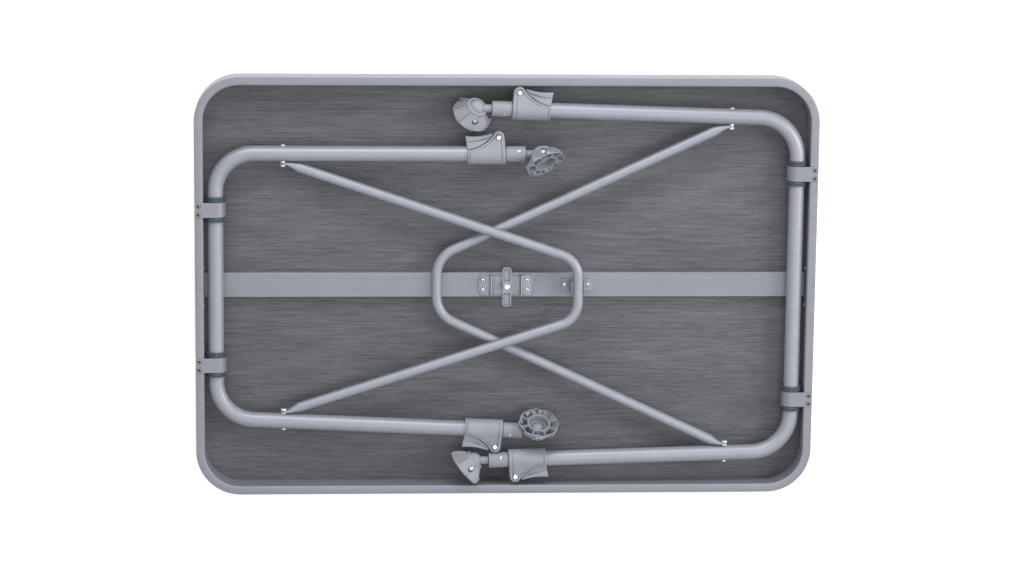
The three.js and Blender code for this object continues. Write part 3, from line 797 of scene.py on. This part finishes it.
def make_brace_bolt(leg):
    """From the table's middle outwards: the nut, the collar between brace and leg, and the head."""
    outward, body = 1 if leg.endswith("rear") else -1, f"{side_of(leg)}_legs"
    profile = [(-21.3, 0), (-21.3, 2.8), (-20.7, 4.8), (-19.1, 5.6), (-18.3, 5.6), (-18.3, 4.2),
               (-13.9, 4.2), (-13.9, 5.4), (-12.7, 5.4), (-12.7, 3),
               (12.8, 3), (12.8, 4.9), (13.6, 4.9), (14.8, 3.8), (15.3, 2), (15.3, 0)]
    place = Matrix.Translation(bolt_place(leg)) @ Matrix.Rotation(outward * math.pi / 2, 4, "Z")
    turned_piece(f"{leg}_brace_bolt", profile, 28, place, "steel", body, [f"brace_bolt_{leg}"])


# --- Clamp and lever, drawn with X along the leg and Y towards the lever ---

# The round collar, whose end leans back towards the pin, and the lobe on its side that holds the pin. The
# collar's sides run on flat to CHEEK_LEVEL. The lever's hub sits between the lobe's two cheeks.
CLAMP_RADIUS = 16.7
CLAMP_LEAN = 1.9
LOBE_RADIUS = 9
CHEEK_HALF = 9
CHEEK_LEVEL = 24
HUB_RADIUS = 8
HUB_HALF = 4.6
HUB_GAP = 0.3
PIN_PROUD = 0.35

# The cheek's curved edge leaves the lobe at an angle in degrees and reaches the clamp's start at a
# distance from the axis. CHEEK_BEND is the curve's control point, back from the pin and up from the axis.
CHEEK_ANGLE = 160
CHEEK_TAIL = 7
CHEEK_BEND = (24, 11.5)

# The round edge of each face and the line moulded inside it. A face has vertices at EDGE_STEPS from its
# edge, closer together if it is narrower than EDGE_STEPS_WIDTH, and wider apart at its far end.
EDGE_ROUND = 1.8
EDGE_LINE = (3.15, 4.15)
EDGE_LINE_DEPTH = 0.8
EDGE_STEPS = (0, 0.25, 0.6, 1.1, 1.8, 2.8, 3.2, 3.5, 4.1, 4.4, 5.0)
EDGE_STEPS_WIDTH = 15
FAR_SHARE = 0.62

# The lever: its gap to the cheek, its outer edge's two ends and its bulge, and its thin web, which ends
# where the flange begins at a share of the way out.
LEVER_STEPS = 30
LEVER_GAP = 0.9
LEVER_START = CLAMP_START - 3.6
LEVER_END = PIN_ALONG - 10.8
LEVER_OUTER = 29.4
LEVER_RISE = 3.6
LEVER_BULGE = 1.2
WEB_DROP = 2.4
FLANGE_START = 0.62
LEVER_SHARES = (0, 0.03, 0.08, 0.2, 0.4, 0.55, FLANGE_START, 0.67, 0.75, 0.86, 0.93, 0.97, 1)
LEVER_EDGES = {0: 0.9, 0.03: 0.4, 0.97: 0.5, 1: 1.3}
LEVER_END_DROP = 0.8


def cheek_curve(offset, steps):
    """The curve that parts the clamp's cheek from the lever, from the lobe to the tail."""
    turn, reach = math.radians(CHEEK_ANGLE), LOBE_RADIUS + offset
    start = Vector((PIN_ALONG + reach * math.cos(turn), PIN_OFFSET + reach * math.sin(turn)))
    control = Vector((PIN_ALONG - CHEEK_BEND[0] - offset * 0.7, CHEEK_BEND[1] + offset * 0.7))
    end = Vector((CLAMP_START, CHEEK_TAIL + offset))
    points = []
    for i in range(steps + 1):
        t = i / steps
        points.append(tuple(start * (1 - t) ** 2 + control * 2 * t * (1 - t) + end * t * t))
    return points


CHEEK_EDGE = cheek_curve(0, 60)


def clamp_span(y):
    """The clamp's two ends along the leg at a distance from the tube's axis towards the lever."""
    rise = max(y - PIN_OFFSET, 0)
    reach = math.sqrt(max(LOBE_RADIUS ** 2 - rise ** 2, 0.01))
    right = PIN_ALONG + reach if rise else CLAMP_END - CLAMP_LEAN * max(y, 0) / PIN_OFFSET
    if y < CHEEK_TAIL:
        return CLAMP_START, right
    if y > CHEEK_EDGE[0][1]:
        return PIN_ALONG - reach, right
    return min(CHEEK_EDGE, key=lambda point: abs(point[1] - y))[0], right


def clamp_half(y):
    """Half the clamp's thickness: a round collar whose sides run on flat to the lobe."""
    far = math.hypot(CHEEK_LEVEL, CHEEK_HALF)
    lean = math.atan2(CHEEK_LEVEL, CHEEK_HALF) - math.acos(CLAMP_RADIUS / far)
    if y < CLAMP_RADIUS * math.sin(lean):
        return math.sqrt(max(CLAMP_RADIUS ** 2 - y * y, 0.01))
    if y < CHEEK_LEVEL:
        return (CLAMP_RADIUS - y * math.sin(lean)) / math.cos(lean)
    return CHEEK_HALF


def edge_steps(width):
    """Distances across a face, close together near its two edges, and closer still on a narrow face."""
    shrink = min(1, width / EDGE_STEPS_WIDTH)
    near = [d * shrink for d in EDGE_STEPS]
    far = [width - d / FAR_SHARE for d in reversed(near)]
    middle = [near[-1] + (far[0] - near[-1]) * i / 14 for i in range(1, 14)]
    return near + middle + far


def relief(edge):
    """How far a face stands below its middle at a distance from its edge."""
    if edge < EDGE_ROUND:
        return EDGE_ROUND - math.sqrt(max(EDGE_ROUND ** 2 - (EDGE_ROUND - edge) ** 2, 0))
    return EDGE_LINE_DEPTH if EDGE_LINE[0] < edge < EDGE_LINE[1] else 0


def past_cheek(x, y):
    """Whether a place on the lobe is on its round side, where the cheek's curve doesn't edge it."""
    return PIN_ALONG - x < (PIN_OFFSET - y) / math.tan(math.radians(CHEEK_ANGLE))


def clamp_solid():
    """The collar and lobe, with rows along the leg from the collar's back to the lobe's top."""
    rows = [-CLAMP_RADIUS * math.cos(math.radians(a)) for a in range(6, 91, 6)]
    rows += [i * 0.9 for i in range(1, 31)]
    rows += [PIN_OFFSET + LOBE_RADIUS * math.sin(math.radians(a)) for a in range(4, 85, 5)]
    rings = []
    for y in rows:
        left, right = clamp_span(y)
        front = []
        for step in edge_steps(right - left):
            x = left + step
            edge = min(step, FAR_SHARE * (right - left - step))
            if y > CHEEK_TAIL - 4:
                edge = min([edge] + [math.hypot(x - a, y - b) for a, b in CHEEK_EDGE])
            if y > PIN_OFFSET and past_cheek(x, y):
                edge = min(edge, LOBE_RADIUS - math.hypot(x - PIN_ALONG, y - PIN_OFFSET))
            front.append((x, y, max(clamp_half(y) - relief(max(edge, 0)), 0.1)))
        rings.append(front + [(x, y, -z) for x, y, z in reversed(front)])
    return skin(rings)


def lever_solid():
    """The wedge beside the cheek: a web with a thicker flange along its outer edge."""
    inner = list(reversed(cheek_curve(LEVER_GAP, LEVER_STEPS)))
    rings = []
    for i, (x, y) in enumerate(inner):
        t = i / LEVER_STEPS
        outer_x = LEVER_START + (LEVER_END - LEVER_START) * t
        outer_y = LEVER_OUTER + LEVER_RISE * t * t - LEVER_BULGE * math.sin(math.pi * t)
        front = []
        for share in LEVER_SHARES:
            across = y + (outer_y - y) * share
            half = clamp_half(across) - WEB_DROP if share < FLANGE_START else CHEEK_HALF
            half -= LEVER_EDGES.get(share, 0)
            if i in (0, LEVER_STEPS):
                half -= LEVER_END_DROP
            front.append((x + (outer_x - x) * share, across, half))
        rings.append(front + [(a, b, -z) for a, b, z in reversed(front)])
    return skin(rings)


# The bore for the tube, the narrower one past its end, the lever's room for it, and the lobe's slot.
CLAMP_BORE = 12.9
CLAMP_STOP = 11.7
LEVER_BORE = TUBE_RADIUS + 0.6
SLOT_HALF = HUB_HALF + HUB_GAP

CLAMP = carved(
    clamp_solid(),
    lathe([(CLAMP_START - 1, 0), (CLAMP_START - 1, CLAMP_BORE), (TUBE_END + 0.3, CLAMP_BORE),
           (TUBE_END + 0.3, CLAMP_STOP), (CLAMP_END + 1, CLAMP_STOP), (CLAMP_END + 1, 0)], 48),
    post(LOBE_RADIUS + 2.2, PIN_ALONG, PIN_OFFSET, SLOT_HALF),
    block((PIN_ALONG - 20, 24.5, -SLOT_HALF), (PIN_ALONG, 36, SLOT_HALF)),
)
CLAMP_LEVER = join(
    carved(lever_solid(), lathe([(CLAMP_START - 10, 0), (CLAMP_START - 10, LEVER_BORE),
                                 (CLAMP_END, LEVER_BORE), (CLAMP_END, 0)], 48)),
    post(HUB_RADIUS, PIN_ALONG, PIN_OFFSET, HUB_HALF),
    block((PIN_ALONG - 16, 26.8, -HUB_HALF), (PIN_ALONG - 1, 30, HUB_HALF)),
)


def make_clamp(leg):
    """The collar on the tube's end with its two-cheek lobe, the lever beside it and the pin."""
    body, outer, place = f"{side_of(leg)}_legs", outer_side(leg), leg_matrix(leg)
    collar, wedge = moved(mirrored(CLAMP, outer), place), moved(mirrored(CLAMP_LEVER, outer), place)
    piece(f"{leg}_clamp_collar", collar, "plastic", body, [f"clamp_body_{leg}"], sharp=35)
    piece(f"{leg}_clamp_wedge", wedge, "plastic", f"lever_{leg}", [f"clamp_lever_{leg}"], sharp=35)

    pin = place @ Matrix.Translation((PIN_ALONG, outer * PIN_OFFSET, 0)) @ X_TO_Z
    # Painted shadow: a near-black ring round the pin's head, just proud of the cheek.
    low, high = CHEEK_HALF - 0.2, CHEEK_HALF + 0.15
    line = [(low, 0), (low, 4.9), (high, 4.9), (high, 0)]
    turned_piece(f"{leg}_pin_joint_line", line, 28, pin, "hole", body)
    pin = place @ Matrix.Translation((PIN_ALONG, outer * PIN_OFFSET, PIN_PROUD)) @ X_TO_Z
    profile = [(-11.0, 0), (-11.0, 2.4), (-10.4, 3.4), (-9.3, 3.4), (-9.3, 2.2), (9.3, 2.2), (9.3, 4.1),
               (10.2, 3.9), (10.9, 3.1), (11.1, 1.2), (10.7, 0)]
    turned_piece(f"{leg}_pin", profile, 28, pin, "steel", body, [f"lever_pin_{leg}"])


# --- Lower leg, plug and ball ---

INNER_TUBE_RADIUS = 11
INNER_TUBE_BORE = 10
PLUG_RADIUS = 12.5
PLUG_RIVET_SEAT = 12.4
BALL_RADIUS = 13.5


def make_lower_leg(leg):
    """The tube that slides in the leg, the plug on its end and the ball that the foot turns on."""
    place, body = leg_matrix(leg), f"lower_leg_{leg}"
    tube_end = PLUG_START - 0.3
    tube = [(LOWER_LEG_START, INNER_TUBE_BORE), (LOWER_LEG_START, INNER_TUBE_RADIUS),
            (tube_end, INNER_TUBE_RADIUS), (tube_end, INNER_TUBE_BORE)]
    turned_piece(f"{leg}_inner_tube", tube, 40, place, "tube", body, [f"lower_leg_{leg}"])

    plug = [(PLUG_START, 9.5), (PLUG_START, 11.7), (PLUG_START + 0.7, PLUG_RADIUS),
            (PLUG_END - 1.1, PLUG_RADIUS), (PLUG_END - 0.3, 12.1), (PLUG_END, 11.2), (PLUG_END, 3)]
    turned_piece(f"{leg}_end_plug", plug, 48, place, "plastic", body, [f"leg_plug_{leg}"])
    share, tilt = PLUG_RIVETS[leg]
    turn = math.radians(-tilt if leg.startswith("left") else tilt)
    along = PLUG_START + share * (PLUG_END - PLUG_START)
    around = Matrix.Translation((along, 0, 0)) @ Matrix.Rotation(turn, 4, "X")
    rivet(f"{leg}_plug_rivet", place @ around @ Matrix.Translation((0, 0, PLUG_RIVET_SEAT)), 2.7, body)

    stud = [(PLUG_END + 0.3, 0), (PLUG_END + 0.3, 6), (PLUG_END + 0.9, 6.5)]
    stud += arc(BALL_ALONG, 0, BALL_RADIUS, 150, 0, 25)
    turned_piece(f"{leg}_ball", stud, 40, place, "plastic", body, [f"ball_stud_{leg}"])


# --- Foot, drawn about its ball with Z away from the ground ---

PETALS = 8
PETAL_SPAN = 2 * math.pi / PETALS
PETAL_EDGE = 0.05
PETAL_STEPS = (0.0, PETAL_EDGE, 0.16, 0.28, 0.4, 0.46, 0.54, 0.6, 0.72, 0.84, 0.95)
RIB_SHARES = (0.45, 0.55)
RIM_RADIUS = 33
RIM_DROP = 20
CUP_RADIUS = 17
CUP_TOP = 5
THICKNESS = 2.2

# The upper face: its height at the cup, its fall to the rim, and how far a petal's two edges are apart.
PETAL_TOP = 2.2
PETAL_FALL = 18.4
PETAL_LIFT = 8

# The hollow's ceiling between the ribs, and within an angle of the screw.
HOLLOW_TOP = -9
SCREW_HOLLOW_TOP = -13
SCREW_ANGLE = math.pi / 7

# The eight-sided ring in the middle and the recess within it, whose floor shows the ball.
RING_INNER = 17.6
RING_OUTER = 19.4
RECESS_DEPTH = 11

# The ball's socket, the slot that the leg tilts in, the room for the plug and the screw's seat.
SOCKET = 14.2
LEG_SLOT_HALF = 7.2
PLUG_ROOM = 13.1
PLUG_ROOM_START = 23.5
SCREW_DROP = 7.5
SCREW_SEAT = 20.6


def petal(theta):
    """How far round its petal an angle lies, from 0 to 1."""
    return (theta * PETALS / (2 * math.pi)) % 1


def foot_angles():
    """Angles round the foot, with two close together at each step between petals and at each rib."""
    return [2 * math.pi * i / PETALS + PETAL_SPAN * t for i in range(PETALS) for t in PETAL_STEPS]


def foot_top(radius, theta):
    """Height of the upper face: a steep cone of petals, each turned a little like a fan's blade."""
    t = petal(theta)
    lift = 1 - t if t >= PETAL_EDGE else t / PETAL_EDGE
    flat = radius * math.cos((t - 0.5) * 2 * math.pi / PETALS) / math.cos(math.pi / PETALS)
    reach = (flat - CUP_RADIUS) / (RIM_RADIUS - CUP_RADIUS)
    fade = min(0.25 + reach, 1 if reach < 0.75 else 1.75 - reach)
    return PETAL_TOP - PETAL_FALL * reach + PETAL_LIFT * (lift - 0.5) * fade


def upper_rim(radius, theta):
    """The petals' height at their edge, but no lower than the rim's band."""
    return max(foot_top(radius, theta) - 0.2, -18.6)


def lower_rim(radius, theta):
    """The rounded edge below it, kept within the rim's band."""
    return max(min(foot_top(radius, theta) - 0.9, -16.2), -19)


def hollow(radius, theta):
    """Height of the hollow's ceiling, and of the ribs in it."""
    if RIB_SHARES[0] <= petal(theta) <= RIB_SHARES[1]:
        return 0.3 - RIM_DROP
    beside_screw = abs(abs(theta - math.pi) - math.pi / 2) < SCREW_ANGLE
    return min(foot_top(radius, theta) - THICKNESS, SCREW_HOLLOW_TOP if beside_screw else HOLLOW_TOP)


def scalloped(theta):
    """Shrinks the rim towards one edge of each petal."""
    return 1 - 0.06 * petal(theta)


def eight_sided(theta):
    """Shrinks a circle to an eight-sided ring with its corners at the ribs."""
    return math.cos(PETAL_SPAN / 2) / math.cos((theta + PETAL_SPAN / 2) % PETAL_SPAN - PETAL_SPAN / 2)


def foot_mesh():
    """The pad: cup, petals, rim, ribbed hollow and centre recess, with the ball, leg and screw cut out."""
    angles = foot_angles()
    rings = []

    def ring(radius, height, shape=None):
        points = []
        for theta in angles:
            r = radius * shape(theta) if shape else radius
            z = height(r, theta) if callable(height) else height
            points.append((r * math.cos(theta), r * math.sin(theta), z))
        rings.append(points)

    for r, z in ((0.4, CUP_TOP), (15.8, CUP_TOP), (16.6, CUP_TOP - 0.4), (CUP_RADIUS, CUP_TOP - 1.2),
                 (CUP_RADIUS + 0.2, PETAL_TOP)):
        ring(r, z)
    for r in (18.2, 20, 22.5, 25, 27.5, 30, 31.8):
        ring(r, foot_top)
    for inset, height in ((0.4, upper_rim), (0, lower_rim), (0, 0.5 - RIM_DROP), (0.4, -RIM_DROP),
                          (1.5, -RIM_DROP), (1.8, hollow)):
        ring(RIM_RADIUS - inset, height, scalloped)
    for r in (29, 26, 23, 20.6):
        ring(r, hollow)
    ring(RING_OUTER + 0.8, hollow, eight_sided)
    for r, z in ((RING_OUTER + 0.6, 0.3), (RING_OUTER + 0.2, 0), (RING_INNER, 0), (RING_INNER - 0.3, 0.4),
                 (RING_INNER - 0.8, 6)):
        ring(r, z - RIM_DROP, eight_sided)
    for r, z in ((15.6, RECESS_DEPTH - 0.6), (14.8, RECESS_DEPTH), (0.4, RECESS_DEPTH)):
        ring(r, z - RIM_DROP)

    ball = lathe(arc(0, 0, SOCKET, 180, 0, 30), 48)
    seat = lathe([(SCREW_SEAT, 0), (SCREW_SEAT, 5.2), (RIM_RADIUS + 2, 5.6), (RIM_RADIUS + 2, 0)], 28)
    seat = moved(seat, Matrix.Translation((0, 0, -SCREW_DROP)) @ Matrix.Rotation(math.pi / 2, 4, "Z"))
    start, end = PLUG_ROOM_START, RIM_RADIUS + 9
    plug_room = lathe([(start, 0), (start, PLUG_ROOM), (end, PLUG_ROOM), (end, 0)], 36)
    plug_room = moved(plug_room, Matrix.Translation((0, 0, 0.9)))
    slot = block((0, -LEG_SLOT_HALF, -LEG_SLOT_HALF), (36, LEG_SLOT_HALF, CUP_TOP + 1))
    return carved(skin(rings), ball, slot, seat, plug_room)


FOOT = foot_mesh()


def make_foot(leg):
    """The pad and the screw through its socket."""
    place, body, side = foot_matrix(leg), f"foot_{leg}", SCREW_SIDE[leg]
    piece(f"{leg}_foot_pad", moved(mirrored(FOOT, side), place), "plastic", body, [f"foot_{leg}"], sharp=28)
    turn = place @ Matrix.Translation((0, 0, -SCREW_DROP)) @ Matrix.Rotation(side * math.pi / 2, 4, "Z")
    head = [(0.1, 0), (0.1, 3.7), (1.2, 3.7), (1.9, 2.9), (2.2, 1.5), (1.2, 1.2), (1.2, 0)]
    head = [(x + SCREW_SEAT, r) for x, r in head]
    turned_piece(f"{leg}_foot_pivot_screw", head, 24, turn, "steel", body, [f"foot_screw_{leg}"])


# --- Bracket, wing and clip ---

# The bracket's plate: its convex left end, its right end with two round corners, its rings as (inset,
# height), the floor within its lip, its rivets, its two low walls and the boss.
PLATE_END_X = -12
PLATE_END_RADIUS = 33
PLATE_END_ANGLE = 42
PLATE_RIGHT_X = 36.5
PLATE_CORNER = 8
PLATE_RINGS = ((0, 0), (0, 2.6), (0.5, 3.1), (1.7, 3.1), (2.3, 1.6))
PLATE_FLOOR = 1.6
BRACKET_RIVETS_X = (-37, 34.5)
BRACKET_RIVETS_Y = (6.8, -8.7)
BRACKET_WALL_X = 24.5
BRACKET_WALL_HALF = 1.1
BOSS_RADIUS = 6.5
BOSS_TOP = 36.2

# The wing's rings as (inset, height), from its bottom and from its top.
WING_BOTTOM_RINGS = ((0.9, 0), (0, 0.9))
WING_TOP_RINGS = ((0, -0.6), (0.6, 0), (1.9, 0), (2.3, -2.6))
WING_CORNER = 5.2

# The clip's jaws, on both sides of the bar that it holds, and its rivets.
CLIP_JAW_X = 9.7
CLIP_RIVETS_X = (95.5, 133)


def make_bracket():
    """A pressed plate on the rail: a lip round it, two low walls and the boss under the wing."""
    low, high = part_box("brace_bracket")
    bottom = low.z / MM
    half_y = high.y / MM
    rings = []
    for inset, z in PLATE_RINGS:
        turn = PLATE_END_ANGLE
        outline = arc(PLATE_END_X, 0, PLATE_END_RADIUS - inset, 180 + turn, 180 - turn, 16)
        outline += arc(PLATE_RIGHT_X, half_y - PLATE_CORNER, PLATE_CORNER - inset, 90, 0, 6)
        outline += arc(PLATE_RIGHT_X, PLATE_CORNER - half_y, PLATE_CORNER - inset, 0, -90, 6)
        limit = half_y - inset
        rings.append([(x, max(min(y, limit), -limit), bottom + z) for x, y in outline])
    walls = [wall(side * BRACKET_WALL_X, BRACKET_WALL_HALF, rounded_rectangle(half_y, 7, 2.5, 4),
                  bottom + 8) for side in (-1, 1)]
    boss = lathe([(bottom, 0), (bottom, BOSS_RADIUS), (BOSS_TOP - 0.6, BOSS_RADIUS),
                  (BOSS_TOP, BOSS_RADIUS - 0.6), (BOSS_TOP, 0)], 32)
    pressing = join(skin(rings), *walls, moved(boss, X_TO_Z))
    piece("bracket_pressing", pressing, "pressing", "table_top", ["brace_bracket"], sharp=30, bevel=0.4)
    for i, x in enumerate(BRACKET_RIVETS_X):
        for j, y in enumerate(BRACKET_RIVETS_Y):
            place = Matrix.Translation((x, y, bottom + PLATE_FLOOR))
            rivet(f"bracket_rivet_{i}{j}", place, 3.6, "table_top")


def make_wing():
    """The turn latch: a bar with round ends, a raised rim and two pockets, and the screw it turns on."""
    low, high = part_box("latch_wing")
    bottom, top = low.z / MM, high.z / MM
    half_x, half_y = high.x / MM, high.y / MM
    levels = [(inset, bottom + z) for inset, z in WING_BOTTOM_RINGS]
    levels += [(inset, top + z) for inset, z in WING_TOP_RINGS]
    rings = []
    for inset, z in levels:
        outline = rounded_rectangle(half_x - inset, half_y - inset, WING_CORNER - inset, 8)
        rings.append([(x, y, z) for x, y in outline])
    bridge = prism(rounded_rectangle(6.0, 9.6, 1.5), top - 2.4, top - 0.2)
    bar = join(skin(rings), bridge)
    piece("latch_wing_bar", bar, "plastic", "latch", ["latch_wing"], sharp=50, bevel=0.25)
    head = [(-12, 0), (-12, 2.2), (0.3, 2.2), (0.3, 4.5), (1.1, 4.4), (1.7, 3.4), (1.7, 1.3), (0.9, 1.1),
            (0.9, 0)]
    place = Matrix.Translation((0, 0, top)) @ X_TO_Z
    turned_piece("latch_pivot_screw", head, 28, place, "steel", "table_top", ["latch_screw"])


def make_clip():
    """The storage clip: a riveted plate with two jaws that hold the upper brace's bar."""
    low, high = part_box("storage_clip")
    bottom, top = low.z / MM, high.z / MM
    middle = (low.x + high.x) / 2 / MM
    half_x, half_y = (high.x - low.x) / 2 / MM, high.y / MM
    plate = prism(rounded_rectangle(half_x, half_y, 4), bottom, bottom + 2)
    jaw = rounded_rectangle(half_y, (top - bottom) / 2, 3, 4)
    jaws = [wall(BRACE_BAR["left"][0] + side * CLIP_JAW_X, 1, jaw, (bottom + top) / 2) for side in (-1, 1)]
    clip = join(moved(plate, Matrix.Translation((middle, 0, 0))), *jaws)
    piece("clip_plate", clip, "plastic", "table_top", ["storage_clip"], sharp=30, bevel=0.4)
    for i, x in enumerate(CLIP_RIVETS_X):
        rivet(f"clip_rivet_{i}", Matrix.Translation((x, 0, bottom + 2)), 3.4, "table_top")


# --- CAD nodes that stay ---

KEPT_NODES = {"table_board": "board", "joiner_left": "plastic", "joiner_right": "plastic"}


def finish_cad_nodes():
    for node, look in KEPT_NODES.items():
        materials = frame["nodes"][node].data.materials
        materials.clear()
        materials.append(MATERIALS[look][0])


make_camera()
make_stage()
make_rails()
make_seam_rivets()
make_centre_rail()
make_bracket()
make_wing()
make_clip()
for side in ("left", "right"):
    make_leg_tube(side)
    make_brace(side)
for leg in LEGS:
    make_strap(leg)
    make_bushing(leg)
    make_brace_bolt(leg)
    make_clamp(leg)
    make_lower_leg(leg)
    make_foot(leg)
finish_cad_nodes()
